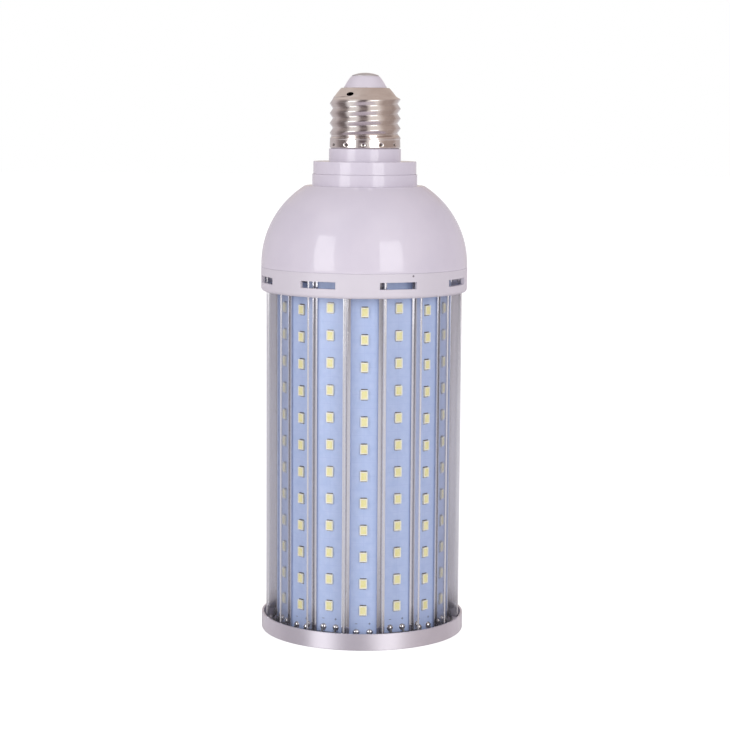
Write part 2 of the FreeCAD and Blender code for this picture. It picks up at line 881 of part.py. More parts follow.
def board_parts():
    away = part_away
    set_on("storage_capacitor", "Part::Cylinder", board_top, (-storage_away, as_size(0)),
           {"Radius": given.storage_radius, "Height": given.storage_tall})
    set_on("film_capacitor", "Part::Box", board_top, (-given.film_length / 2, away),
           {"Length": given.film_length, "Width": given.film_depth, "Height": given.film_tall})
    bridge_y = -(away + given.bridge_depth / 2)
    set_on("bridge_rectifier", "Part::Box", board_top, (-away, bridge_y),
           {"Length": given.bridge_length, "Width": given.bridge_depth,
            "Height": given.bridge_tall})
    chip_y = given.chip_away
    set_on("driver_chip", "Part::Box", board_bottom - given.driver_chip_tall, (as_size(0), chip_y),
           {"Length": given.driver_chip_long, "Width": given.driver_chip_wide,
            "Height": given.driver_chip_tall})
    fuse = set_on("fuse_resistor", "Part::Cylinder", board_top + given.fuse_radius,
                  (away - given.fuse_radius, given.fuse_across),
                  {"Radius": given.fuse_radius, "Height": given.fuse_length})
    fuse.Placement = Placement(fuse.Placement.Base, Rotation(Vector(0, 1, 0), 90))

    # ferrite core round a narrower winding
    body = new_body("power_transformer")
    block = sketch_on(body, "XY_Plane", "core_outline")
    half_depth = given.core_depth / 2
    half_length = given.core_length / 2
    box_outline(block, -half_length, -half_depth, half_length, half_depth)
    pad(body, block, given.core_tall, "core_block")
    for side, name in ((1, "front_window"), (-1, "back_window")):
        window = sketch_on(body, "XZ_Plane", name + "_section")
        bind(window, "AttachmentOffset.Base.z", (half_depth - given.coil_margin) * side)
        margin = given.coil_margin
        box_outline(window, margin - half_length, margin, half_length - margin,
                    given.core_tall - margin)
        pocket(body, window, half_depth, name, upward=(side > 0))
    bind(body, "Placement.Base.x", away - given.coil_margin)
    bind(body, "Placement.Base.y", -away + half_depth / 2)
    bind(body, "Placement.Base.z", board_top)


# Leads, links and their solder, swept along straight runs joined by tangent arcs

def swept(points, radius, bend):
    """A round lead through the points, its corners eased by arcs."""
    edges = []
    here = points[0]
    for index in range(1, len(points) - 1):
        before = (points[index] - points[index - 1]).normalize()
        after = (points[index + 1] - points[index]).normalize()
        turn = before.getAngle(after)
        setback = bend * math.tan(turn / 2)
        enter = points[index] - before * setback
        leave = points[index] + after * setback
        inward = (after - before).normalize()
        centre = points[index] + inward * (bend / math.cos(turn / 2))
        middle = centre - inward * bend
        edges.append(Part.LineSegment(here, enter).toShape())
        edges.append(Part.Arc(enter, middle, leave).toShape())
        here = leave
    edges.append(Part.LineSegment(here, points[-1]).toShape())
    way = (points[1] - points[0]).normalize()
    section = Part.Wire([Part.Circle(points[0], way, radius).toShape()])
    return Part.Wire(edges).makePipeShell([section], True, True)


def around_axis(radius, angle, height):
    """A point by radius, angle from the front towards +X, and height."""
    turn = math.radians(angle)
    return Vector(radius * math.sin(turn), -radius * math.cos(turn), height)


def on_board(index, along, out, height):
    """A point on a board, by its place across the board and its distance off the face."""
    turn = math.radians(strip_turn(index).number)
    normal = Vector(math.sin(turn), -math.cos(turn), 0)
    across = Vector(math.cos(turn), math.sin(turn), 0)
    point = normal * (board_face.number + out) + across * along
    point.z = height
    return point


def joint_height(index):
    return strip_bottom(index).number + given.joint_up.number


def solder_joint(index, along):
    base = given.joint_radius.number
    rise = given.joint_rise.number
    ball = (base ** 2 + rise ** 2) / (2 * rise)
    out = on_board(index, 0, 1, 0) - on_board(index, 0, 0, 0)
    centre = on_board(index, along, rise - ball, joint_height(index))
    latitude = math.degrees(math.asin((ball - rise) / ball))
    return Part.makeSphere(ball, centre, out, latitude, 90, 360)


def lane(index, along):
    """Where a lead leaves a board and turns to cross the rib below the cut-back fins."""
    lane_radius = relief.number + given.link_radius.number + given.lane_gap.number
    spread = math.degrees(math.atan2(abs(along), board_face.number))
    reach = lane_radius / math.cos(math.radians(half_step.number - spread))
    angle = strip_turn(index).number + math.copysign(spread, along)
    height = column_foot.number + given.relief_height.number / 2
    return around_axis(reach, angle, height)


def lead_feature(label, shape):
    thing = doc.addObject("Part::Feature", label)
    thing.Label = label
    thing.Shape = shape
    thing.Placement = Placement()


def links():
    """Fifteen short links join each board to the next one in the chain."""
    radius = given.link_radius.number
    spread = given.joint_spread.number
    bend = radius * 2
    made = []
    total = int(strips.number)
    for index in range(total):
        if index == last_before_gap:
            continue
        after = (index + 1) % total
        start = on_board(index, spread, radius, joint_height(index))
        stop = on_board(after, -spread, radius, joint_height(after))
        wire = swept([start, lane(index, spread), lane(after, -spread), stop], radius, bend)
        wire = wire.fuse(solder_joint(index, spread))
        made.append(wire.fuse(solder_joint(after, -spread)).removeSplitter())
    lead_feature("board_links", Part.makeCompound(made))


def feed_leads():
    """Two leads from the driver down the bore, out of the notch and up to the boards."""
    radius = given.link_radius.number
    spread = given.joint_spread.number
    low = column_foot.number + given.notch_height.number / 2
    angle = (given.strip_turn + notch_turn).number
    turn = math.radians(angle)
    fall = (bore - given.lead_inset).number
    lane_radius = relief.number + radius + given.lane_gap.number
    made = []
    for side, index in ((-1, last_before_gap), (1, last_before_gap + 1)):
        offset = given.lead_spread.number * side
        across = Vector(math.cos(turn), math.sin(turn), 0) * offset
        top = around_axis(fall, angle, board_bottom.number) + across
        elbow = around_axis(fall, angle, low) + across
        outside = around_axis(lane_radius, angle, low) + across
        joint = on_board(index, -side * spread, radius, joint_height(index))
        wire = swept([top, elbow, outside, joint], radius, radius * 2)
        made.append(wire.fuse(solder_joint(index, -side * spread)).removeSplitter())
    lead_feature("feed_leads", Part.makeCompound(made))


def cap_leads():
    radius = given.lead_radius.number
    top = board_top.number
    tip = (cone_top - given.rivet_length).number
    rise = Part.makeCylinder(radius, tip - top, Vector(0, 0, top))
    lead_feature("contact_lead", rise)
    away = given.shell_lead_away.number
    over = stub_top.number + radius * 2
    end = given.thread_root.number - given.shell_sheet.number - given.fit_gap.number
    points = [Vector(0, away, top), Vector(0, away, over), Vector(0, end, over)]
    lead_feature("shell_lead", swept(points, radius, given.lead_bend.number))


column()
for place in range(int(strips.number)):
    board_strip(place)
    chip_row(place)
foot_plate()
slotted_collar()
domed_housing()
neck_adapter()
screw_shell()
cap_insulator()
centre_contact()
screws()
driver_board()
board_parts()
links()
feed_leads()
cap_leads()

doc.recompute()

# Every object must have rebuilt soundly before anything is written.

for thing in doc.Objects:
    troubled = [state for state in thing.State if state in ("Invalid", "Error")]
    if troubled:
        raise RuntimeError("%s did not rebuild: %s" % (thing.Label, thing.State))

KEPT = ("PartDesign::Body", "Part::Feature", "Part::Box", "Part::Cylinder")
os.makedirs("parts", exist_ok=True)
for thing in doc.Objects:
    if thing.TypeId not in KEPT or thing.getParentGeoFeatureGroup() is not None:
        continue
    shape = thing.Shape
    if shape.isNull() or not shape.isValid():
        raise RuntimeError("%s has no sound shape" % thing.Label)
    shape.exportStep("parts/%s.step" % thing.Label)
    print("%-20s %2d solids %10.1f mm3" % (thing.Label, len(shape.Solids), shape.Volume))
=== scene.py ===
import math

import bpy
from mathutils import Matrix, Vector


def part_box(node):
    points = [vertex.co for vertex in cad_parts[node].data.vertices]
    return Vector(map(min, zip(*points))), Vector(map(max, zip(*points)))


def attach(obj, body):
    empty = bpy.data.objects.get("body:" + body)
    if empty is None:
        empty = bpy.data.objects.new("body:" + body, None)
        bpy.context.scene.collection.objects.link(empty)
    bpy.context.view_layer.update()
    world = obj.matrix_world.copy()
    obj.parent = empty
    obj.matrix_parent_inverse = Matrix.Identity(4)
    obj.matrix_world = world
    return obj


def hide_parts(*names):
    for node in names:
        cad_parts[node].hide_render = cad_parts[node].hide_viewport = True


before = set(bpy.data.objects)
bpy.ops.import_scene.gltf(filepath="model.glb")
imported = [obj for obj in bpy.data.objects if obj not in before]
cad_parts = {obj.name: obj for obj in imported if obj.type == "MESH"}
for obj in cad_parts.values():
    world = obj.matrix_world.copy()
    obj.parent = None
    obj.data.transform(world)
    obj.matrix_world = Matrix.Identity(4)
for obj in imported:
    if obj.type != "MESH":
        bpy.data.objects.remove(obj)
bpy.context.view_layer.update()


# Foot plate. A shallow aluminium pan, spun from sheet and turned bright all round, with
# four sunk holes in its floor. Screws hold it up against the end of the column.

MM = 0.001


def start_clean():
    """Leave edit mode and let go of everything, so an operator acts on what comes next."""
    if bpy.context.object and bpy.context.object.mode != "OBJECT":
        bpy.ops.object.mode_set(mode="OBJECT")
    bpy.ops.object.select_all(action="DESELECT")


def take(piece):
    """Select one piece alone and make it the active one."""
    start_clean()
    bpy.context.view_layer.objects.active = piece
    piece.select_set(True)


def apply_modifier(piece, kind, **settings):
    take(piece)
    bpy.ops.object.modifier_add(type=kind)
    modifier = piece.modifiers[-1]
    for setting, value in settings.items():
        setattr(modifier, setting, value)
    bpy.ops.object.modifier_apply(modifier=modifier.name)


def draw_line(name, points):
    """Start from one vertex and extrude it from point to point, in millimetres."""
    start_clean()
    bpy.ops.mesh.primitive_plane_add(size=MM)
    piece = bpy.context.object
    piece.name = name
    piece.data.name = name
    bpy.ops.object.mode_set(mode="EDIT")
    bpy.ops.mesh.select_mode(type="VERT")
    bpy.ops.mesh.select_all(action="SELECT")
    bpy.ops.mesh.merge(type="CENTER")
    places = [Vector(point) * MM for point in points]
    bpy.ops.transform.translate(value=places[0])
    for here, after in zip(places, places[1:]):
        bpy.ops.mesh.extrude_region_move(TRANSFORM_OT_translate={"value": after - here})
    return piece


def tidy_mesh():
    """In edit mode: close the seams and turn every face outwards."""
    bpy.ops.mesh.select_mode(type="VERT")
    bpy.ops.mesh.select_all(action="SELECT")
    bpy.ops.mesh.remove_doubles(threshold=0.002 * MM)
    bpy.ops.mesh.normals_make_consistent(inside=False)
    bpy.ops.object.mode_set(mode="OBJECT")


def spin_round(steps, **settings):
    """In edit mode: spin all that is drawn once round the axis."""
    bpy.ops.mesh.select_all(action="SELECT")
    bpy.ops.mesh.spin(steps=steps, angle=2 * math.pi, center=(0, 0, 0), axis=(0, 0, 1),
                      **settings)
    tidy_mesh()


def turn_piece(name, section, steps=180, start=0.0):
    """Spin a closed half section of (radius, height) corners, in millimetres."""
    turn = math.radians(start)
    corners = [(r * math.sin(turn), -r * math.cos(turn), z) for r, z in section]
    if max(section[0][0], section[-1][0]) > 0.001:
        corners.append(corners[0])
    piece = draw_line(name, corners)
    spin_round(steps)
    return piece


def curve_between(start, stop, radius, count):
    """Points on an arc after its start, bulging to the right of the way to its stop."""
    start = Vector(start)
    stop = Vector(stop)
    half = (stop - start) / 2
    left = Vector((-half.y, half.x)).normalized()
    centre = start + half + left * math.sqrt(radius ** 2 - half.length ** 2)
    sweep = 2 * math.asin(half.length / radius)
    arm = start - centre
    return [tuple(centre + Matrix.Rotation(sweep * step / count, 2) @ arm)
            for step in range(1, count + 1)]


def round_edges(piece, width, segments=3, angle=35):
    apply_modifier(piece, "BEVEL", width=width * MM, segments=segments,
                   limit_method="ANGLE", angle_limit=math.radians(angle))


def fit(piece, slot, *nodes, smooth=35):
    """Shade the mesh, flats kept flat, and set it on the frame for its CAD nodes."""
    take(piece)
    bpy.ops.object.shade_smooth_by_angle(angle=math.radians(smooth))
    apply_modifier(piece, "WEIGHTED_NORMAL", keep_sharp=True)
    start_clean()
    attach(piece, "root")
    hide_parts(*nodes)


def around_axis(radius, angle, height):
    """A point by radius, angle from the front towards +X in degrees, and height."""
    turn = math.radians(angle)
    return Vector((radius * math.sin(turn), -radius * math.cos(turn), height))


def pick(piece, wanted, kind="FACE"):
    """Go into edit mode with only the wanted faces, or vertices, selected."""
    take(piece)
    bpy.ops.object.mode_set(mode="EDIT")
    bpy.ops.mesh.select_mode(type=kind)
    bpy.ops.mesh.select_all(action="DESELECT")
    bpy.ops.object.mode_set(mode="OBJECT")
    for item in piece.data.polygons if kind == "FACE" else piece.data.vertices:
        item.select = bool(wanted(item))
    bpy.ops.object.mode_set(mode="EDIT")


def extrude_up(height):
    """In edit mode: draw what is selected up by a height in millimetres, or down."""
    bpy.ops.mesh.extrude_region_move(TRANSFORM_OT_translate={"value": (0, 0, height * MM)})


def cut_away(piece, cutter):
    """Take the cutter's shape out of the piece and throw the cutter away."""
    apply_modifier(piece, "BOOLEAN", operation="DIFFERENCE", solver="EXACT", object=cutter)
    bpy.data.objects.remove(cutter)


def new_finish(name):
    """A material, its tree and its shader."""
    material = bpy.data.materials.new(name)
    material.use_nodes = True
    tree = material.node_tree
    return material, tree, tree.nodes["Principled BSDF"]


def feed(tree, socket, value):
    """Link a socket to another one, or set it to a number, a place or a colour."""
    if isinstance(value, bpy.types.NodeSocket):
        tree.links.new(value, socket)
    elif socket.type == "RGBA":
        socket.default_value = (*value, 1)
    else:
        socket.default_value = value


def add_node(tree, kind, settings=None, **inputs):
    node = tree.nodes.new("ShaderNode" + kind)
    for name, value in (settings or {}).items():
        setattr(node, name, value)
    for name, value in inputs.items():
        feed(tree, node.inputs[name.replace("_", " ")], value)
    return node


def on_piece(tree, stretch=(1, 1, 1)):
    """The piece's own coordinates in metres, squeezed or stretched."""
    place = add_node(tree, "TexCoord").outputs["Object"]
    return add_node(tree, "Mapping", Vector=place, Scale=stretch).outputs["Vector"]


def noise(tree, where, scale, detail=3.0, roughness=0.55):
    return add_node(tree, "TexNoise", Vector=where, Scale=scale, Detail=detail,
                    Roughness=roughness).outputs["Fac"]


def remap(tree, value, low, high, lowest=0.3, highest=0.7):
    """Spread the middle of a noise over the range from low to high."""
    return add_node(tree, "MapRange", Value=value, **{
        "From Min": lowest, "From Max": highest, "To Min": low, "To Max": high,
    }).outputs["Result"]


def blend_colours(tree, share, first, second):
    node = add_node(tree, "Mix", {"data_type": "RGBA"})
    for place, value in ((0, share), (6, first), (7, second)):
        feed(tree, node.inputs[place], value)
    return node.outputs[2]


def tint(tree, shader, pattern, dark, light):
    """Colour the surface between two shades by a noise."""
    colour = blend_colours(tree, remap(tree, pattern, 0, 1), dark, light)
    tree.links.new(colour, shader.inputs["Base Color"])


def roughen(tree, shader, pattern, low, high):
    tree.links.new(remap(tree, pattern, low, high), shader.inputs["Roughness"])


def bumped(tree, shader, height, distance, strength=1.0):
    """Raise the surface by a height of 0 to 1 times a distance in millimetres."""
    bump = add_node(tree, "Bump", Height=height, Distance=distance * MM, Strength=strength)
    tree.links.new(bump.outputs["Normal"], shader.inputs["Normal"])


def level_way(tree):
    """The level direction that lies in the surface, which lathe rings follow."""
    across = add_node(tree, "VectorMath", {"operation": "CROSS_PRODUCT"})
    tree.links.new(add_node(tree, "NewGeometry").outputs["Normal"], across.inputs[0])
    across.inputs[1].default_value = (0, 0, 1)
    return across.outputs["Vector"]


def turned_aluminium():
    """Satin aluminium under a clear sealed skin. Its rings spread light up and down."""
    material, tree, shader = new_finish("turned_aluminium")
    rings = noise(tree, on_piece(tree, (1, 1, 260)), 60, detail=2)
    smudge = noise(tree, on_piece(tree), 70, detail=4)
    tint(tree, shader, smudge, (0.67, 0.63, 0.69), (0.75, 0.71, 0.77))
    shader.inputs["Metallic"].default_value = 0.45
    shader.inputs["Coat Weight"].default_value = 0.6
    shader.inputs["Coat Roughness"].default_value = 0.06
    shader.inputs["Anisotropic"].default_value = 0.95
    shader.inputs["Anisotropic Rotation"].default_value = 0.25
    tree.links.new(level_way(tree), shader.inputs["Tangent"])
    roughen(tree, shader, smudge, 0.44, 0.52)
    bumped(tree, shader, rings, 0.004)
    return material


foot_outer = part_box("foot_plate")[1].x / MM
foot_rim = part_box("foot_plate")[1].z / MM
foot_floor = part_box("finned_column")[0].z / MM
foot_wall = 0.75
foot_corner = 0.5
foot_edge = 0.12
port_circle = 27.02
port_turn = 11.92
port_count = 4
head_radius = 2.9
pass_radius = 1.6
sink_depth = 1.5
# How squarely a face looks along an axis to be picked.
facing = 0.9

foot_section = [(0, 0), (foot_outer - foot_corner, 0)]
foot_section += curve_between(foot_section[-1], (foot_outer, foot_corner), foot_corner, 6)
foot_section += [
    (foot_outer, foot_rim),
    (foot_outer - foot_wall, foot_rim),
    (foot_outer - foot_wall, foot_floor),
    (0, foot_floor),
]
foot = turn_piece("foot_plate_pan", foot_section, steps=240)
for index in range(port_count):
    start_clean()
    middle = around_axis(port_circle, port_turn + 360 / port_count * index, 0)
    bpy.ops.mesh.primitive_cone_add(
        vertices=48, radius1=head_radius * MM, radius2=pass_radius * MM,
        depth=sink_depth * MM, location=(middle + Vector((0, 0, sink_depth / 2))) * MM)
    sink = bpy.context.object
    for side in (1, -1):
        pick(sink, lambda face: face.normal.z * side > facing)
        extrude_up(side * foot_floor)
    bpy.ops.object.mode_set(mode="OBJECT")
    cut_away(foot, sink)
round_edges(foot, foot_edge, segments=2)
foot.data.materials.append(turned_aluminium())
fit(foot, "satin_aluminium", "foot_plate")


# Finned column. One aluminium extrusion, bright as drawn, with sixteen channels under
# small lips, a thin round-nosed fin between every two, and four screw ports in its bore.

strips = 16
step = 360 / strips
column_turn = 0.67
slot_half = 5.5
channel_floor = 31.12
lip_under = 32.22
lip_top = 32.82
lip_edge = 5.05
crease_side = 5.6
crease_floor = 32.42
fin_half = 0.4
fin_tip = 37.1
fin_foot = crease_floor / math.cos(math.radians(step / 2)) - fin_half * math.tan(
    math.radians(step / 2))
fin_cut_back = 3.64
bore = 29.42
bore_steps = 24
port_boss = 3.1
port_hole = 1.3
slit_half = 0.45
relief_top = foot_floor + 3.6
short_step = 0.01
column_edge = 0.08
column_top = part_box("finned_column")[1].z / MM


def seen_from(angle, out, along):
    """A point by its distance out along a direction and its place across it."""
    turn = math.radians(angle)
    return (out * math.sin(turn) + along * math.cos(turn),
            along * math.sin(turn) - out * math.cos(turn))


def column_sector():
    """The outline of one channel floor and the rib and fin after it."""
    this_way = column_turn
    fin_way = column_turn + step / 2
    next_way = column_turn + step
    side = [
        (slot_half, channel_floor),
        (slot_half, lip_under),
        (lip_edge, lip_under),
        (lip_edge, lip_top),
        (crease_side, lip_top),
        (crease_side, crease_floor),
    ]
    sector = [seen_from(this_way, channel_floor, -slot_half)]
    sector += [seen_from(this_way, out, along) for along, out in side]
    sector.append(seen_from(fin_way, fin_foot, -fin_half))
    nose = fin_tip - fin_cut_back - fin_half
    for turn in range(0, 181, 30):
        angle = math.radians(turn)
        sector.append(seen_from(fin_way, nose + fin_half * math.sin(angle),
                                -fin_half * math.cos(angle)))
    sector.append(seen_from(fin_way, fin_foot, fin_half))
    sector += [seen_from(next_way, out, -along) for along, out in reversed(side)]
    return sector


def bore_outline():
    """The bore with its four split screw ports, drawn anticlockwise from above."""
    reach = math.degrees(math.acos((bore ** 2 + port_circle ** 2 - port_boss ** 2)
                                   / (2 * bore * port_circle)))
    points = []
    for index in range(port_count):
        middle = port_turn + 360 / port_count * index
        edge = seen_from(0, bore * math.cos(math.radians(reach)),
                         bore * math.sin(math.radians(reach)))
        out = -edge[1] - port_circle
        wide = math.degrees(math.atan2(edge[0], out))
        shut = math.degrees(math.asin(slit_half / port_boss))
        hole = math.degrees(math.asin(slit_half / port_hole))
        for radius, first, last, count in (
                (port_boss, -wide, shut - 180, 10),
                (port_hole, hole - 180, 180 - hole, 16),
                (port_boss, 180 - shut, wide, 10)):
            for place in range(count + 1):
                angle = math.radians(first + (last - first) * place / count)
                points.append(seen_from(middle, port_circle + radius * math.cos(angle),
                                        radius * math.sin(angle)))
        rest = 360 / port_count - 2 * reach
        for place in range(1, bore_steps):
            points.append(seen_from(middle + reach + rest * place / bore_steps, bore, 0))
    return points


def reckon(tree, operation, *values):
    """What a Math node makes of the numbers or sockets given."""
    node = add_node(tree, "Math", {"operation": operation})
    for socket, value in zip(node.inputs, values):
        feed(tree, socket, value)
    return node.outputs[0]


def drawn_aluminium():
    """Bright extruded aluminium with die lines all along it, and painted shade in mottled patches
    low in the grooves.
    """
    material, tree, shader = new_finish("drawn_aluminium")
    die_lines = noise(tree, on_piece(tree, (1, 1, 0.01)), 1500, detail=2)
    broad_lines = noise(tree, on_piece(tree, (1, 1, 0.02)), 420, detail=2)
    handled = noise(tree, on_piece(tree), 55, detail=4)
    bright = blend_colours(tree, remap(tree, broad_lines, 0, 1), (0.68, 0.675, 0.705),
                           (0.77, 0.765, 0.795))
    height = add_node(tree, "SeparateXYZ", Vector=on_piece(tree)).outputs["Z"]
    # Painted shade: the grooves darken just above the foot rim, in patches set by a noise.
    low = remap(tree, height, 1, 0, lowest=6 * MM, highest=15 * MM)
    painted_groove_shade = reckon(tree, "MULTIPLY", low, remap(tree, handled, 0.25, 0.8))
    colour = blend_colours(tree, painted_groove_shade, bright, (0.30, 0.28, 0.29))
    tree.links.new(colour, shader.inputs["Base Color"])
    shader.inputs["Metallic"].default_value = 0.85
    roughen(tree, shader, handled, 0.09, 0.15)
    bumped(tree, shader, die_lines, 0.003)
    return material


outer = [(x, y, foot_floor) for x, y in column_sector()]
column = draw_line("column_extrusion", outer)
spin_round(strips, dupli=True)
bore_points = [(x, y, foot_floor) for x, y in bore_outline()]
inner = draw_line("bore_line", bore_points + bore_points[:1])
tidy_mesh()
take(column)
inner.select_set(True)
bpy.ops.object.join()
bpy.ops.object.mode_set(mode="EDIT")
bpy.ops.mesh.select_mode(type="EDGE")
bpy.ops.mesh.select_all(action="SELECT")
bpy.ops.mesh.fill(use_beauty=True)
extrude_up(relief_top - foot_floor)
extrude_up(short_step)
above = (relief_top + short_step * 0.9) * MM
inside_tip = (fin_foot + fin_tip - fin_cut_back - fin_half) / 2 * MM
for index in range(strips):
    reach = around_axis(1, column_turn + step * (index + 0.5), 0)
    aside = Vector((reach.y, -reach.x, 0))
    pick(column, lambda point: point.co.z > above and point.co.dot(reach) > inside_tip
         and abs(point.co.dot(aside)) < 2 * fin_half * MM, kind="VERT")
    bpy.ops.transform.translate(value=reach * fin_cut_back * MM)
pick(column, lambda face: face.center.z > above and abs(face.normal.z) > facing)
extrude_up(column_top - relief_top - short_step)
tidy_mesh()
round_edges(column, column_edge, segments=2, angle=50)
column.data.materials.append(drawn_aluminium())
fit(column, "polished_aluminium", "finned_column")


# Board strips. Sixteen aluminium-cored boards with a pale blue mask, slid into the
# channels, alternate ones standing a little higher, each with two printed marks at its foot.

board_face = 32.12
board_half = 5.4
strip_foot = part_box("board_strip_01")[0].z / MM
strip_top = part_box("board_strip_01")[1].z / MM
strip_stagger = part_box("board_strip_02")[0].z / MM - strip_foot
strip_end = 10.0
joint_spread = 2.45
joint_up = 1.85
board_edge = 0.12
masked = 0.7
mark_up = 5.0
mark_long = 0.9
mark_thin = 0.2
mark_edge = 0.004
ink_thick = 0.02


def add_block(name, low, high):
    """A box between two corners, in millimetres, for shaping further."""
    start_clean()
    low = Vector(low)
    high = Vector(high)
    bpy.ops.mesh.primitive_cube_add(size=MM, location=(low + high) / 2 * MM, scale=high - low)
    piece = bpy.context.object
    piece.name = name
    piece.data.name = name
    bpy.ops.object.transform_apply(location=True, rotation=True, scale=True)
    return piece


def join_to(piece, others):
    take(piece)
    for other in others:
        other.select_set(True)
    bpy.ops.object.join()


def paint(piece, index, wanted):
    """Give the wanted faces the material in that slot."""
    for face in piece.data.polygons:
        if wanted(face):
            face.material_index = index


def copies_round(first, name):
    """Copy a piece to each board's place round the axis, every second one lifted."""
    made = []
    for index in range(strips):
        take(first)
        bpy.ops.object.duplicate()
        piece = bpy.context.object
        piece.name = piece.data.name = "%s_%02d" % (name, index + 1)
        piece.rotation_euler.z = math.radians(column_turn + step * index)
        piece.location.z = strip_stagger * MM * (index % 2)
        bpy.ops.object.transform_apply(location=True, rotation=True, scale=True)
        made.append(piece)
    bpy.data.objects.remove(first)
    return made


def blue_mask():
    """Pale blue solder mask: copper fields show faintly under it, darker by the edges as painted
    shade.
    """
    material, tree, shader = new_finish("blue_mask")
    flat = add_node(tree, "UVMap", {"uv_map": "board_plan"}).outputs["UV"]
    across = reckon(tree, "ABSOLUTE", add_node(tree, "SeparateXYZ", Vector=flat).outputs["X"])
    # Painted shade of the lips: the mask darkens towards each edge, where the lips overhang it.
    painted_lip_shade = remap(tree, across, 0, 1, lowest=4.3, highest=5.1)
    fields = add_node(tree, "TexBrick", {"offset": 0.0, "squash": 1.0}, Vector=flat, Scale=1.0,
                      Mortar_Size=0.09, Mortar_Smooth=0.3, Brick_Width=5.4, Row_Height=5.0)
    cloud = noise(tree, flat, 0.35, detail=3)
    plain = blend_colours(tree, remap(tree, cloud, 0, 1), (0.44, 0.55, 0.80), (0.50, 0.60, 0.84))
    lined = blend_colours(tree, fields.outputs["Fac"], plain, (0.43, 0.535, 0.79))
    colour = blend_colours(tree, painted_lip_shade, lined, (0.33, 0.42, 0.68))
    tree.links.new(colour, shader.inputs["Base Color"])
    roughen(tree, shader, cloud, 0.30, 0.42)
    bumped(tree, shader, fields.outputs["Fac"], 0.008, strength=0.5)
    return material


def cut_edge_metal():
    """The sawn aluminium edge of a board."""
    material, tree, shader = new_finish("board_edge_metal")
    scratch = noise(tree, on_piece(tree, (1, 1, 8)), 900, detail=2)
    tint(tree, shader, scratch, (0.55, 0.55, 0.57), (0.72, 0.72, 0.74))
    shader.inputs["Metallic"].default_value = 1.0
    roughen(tree, shader, scratch, 0.35, 0.5)
    bumped(tree, shader, scratch, 0.01)
    return material


def printed_ink():
    """Dark grey ink, slightly patchy where the screen let less through."""
    material, tree, shader = new_finish("printed_ink")
    patch = noise(tree, on_piece(tree), 4000, detail=2)
    tint(tree, shader, patch, (0.10, 0.11, 0.16), (0.17, 0.19, 0.26))
    shader.inputs["Roughness"].default_value = 0.6
    return material


board = add_block("board", (-board_half, -board_face, strip_foot),
                  (board_half, -channel_floor, strip_top))
round_edges(board, board_edge, segments=2, angle=60)
for finish in (blue_mask(), cut_edge_metal(), printed_ink()):
    board.data.materials.append(finish)
paint(board, 1, lambda face: face.normal.y > -masked)
height = strip_foot + mark_up
marks = []
for x, wide, tall in ((-joint_spread, mark_long, mark_thin), (joint_spread, mark_long, mark_thin),
                      (joint_spread, mark_thin, mark_long)):
    mark = add_block("mark", (x - wide / 2, -board_face - ink_thick, height - tall / 2),
                     (x + wide / 2, -board_face + ink_thick, height + tall / 2))
    round_edges(mark, mark_edge, segments=1)
    mark.data.materials.append(board.data.materials[2])
    marks.append(mark)
join_to(board, marks)
plan = board.data.uv_layers.new(name="board_plan")
board.data.uv_layers.active = plan
for face in board.data.polygons:
    for corner in face.loop_indices:
        place = board.data.vertices[board.data.loops[corner].vertex_index].co / MM
        plan.data[corner].uv = (place.x, place.z - strip_foot)
for index, piece in enumerate(copies_round(board, "board")):
    fit(piece, "strip_board", "board_strip_%02d" % (index + 1))


# Chips. Twelve on each board: a pale moulded frame round a cup of yellow phosphor, on two
# tinned tabs that are soldered to the board.

chips = 12
chip_pitch = 10.0
chip_width = 2.8
chip_tall = 3.5
chip_thick = 0.8
chip_rim = 0.3
chip_edge = 0.06
cup_lean = 0.08
cup_depth = 0.14
tab_half = 1.15
tab_reach = 0.32
tab_under = 0.05
tab_thick = 0.16


def chip_frame():
    """Creamy moulded frame with a faint glow of the phosphor in it."""
    material, tree, shader = new_finish("chip_frame")
    mottle = noise(tree, on_piece(tree), 1800, detail=2)
    tint(tree, shader, mottle, (0.88, 0.86, 0.66), (0.93, 0.91, 0.78))
    shader.inputs["Roughness"].default_value = 0.4
    bumped(tree, shader, mottle, 0.006)
    return material


def phosphor():
    """Yellow phosphor in clear gel, a little uneven in depth."""
    material, tree, shader = new_finish("phosphor")
    cloud = noise(tree, on_piece(tree), 900, detail=3)
    tint(tree, shader, cloud, (0.82, 0.77, 0.33), (0.88, 0.84, 0.47))
    shader.inputs["Roughness"].default_value = 0.25
    shader.inputs["Coat Weight"].default_value = 0.3
    bumped(tree, shader, cloud, 0.01)
    return material


def tinned_tab(name, dark, light):
    """Tin on a small tab or a joint, dull where the flux has burnt."""
    material, tree, shader = new_finish(name)
    burnt = noise(tree, on_piece(tree), 1500, detail=3)
    tint(tree, shader, burnt, dark, light)
    shader.inputs["Metallic"].default_value = 1.0
    roughen(tree, shader, burnt, 0.2, 0.4)
    bumped(tree, shader, burnt, 0.01)
    return material


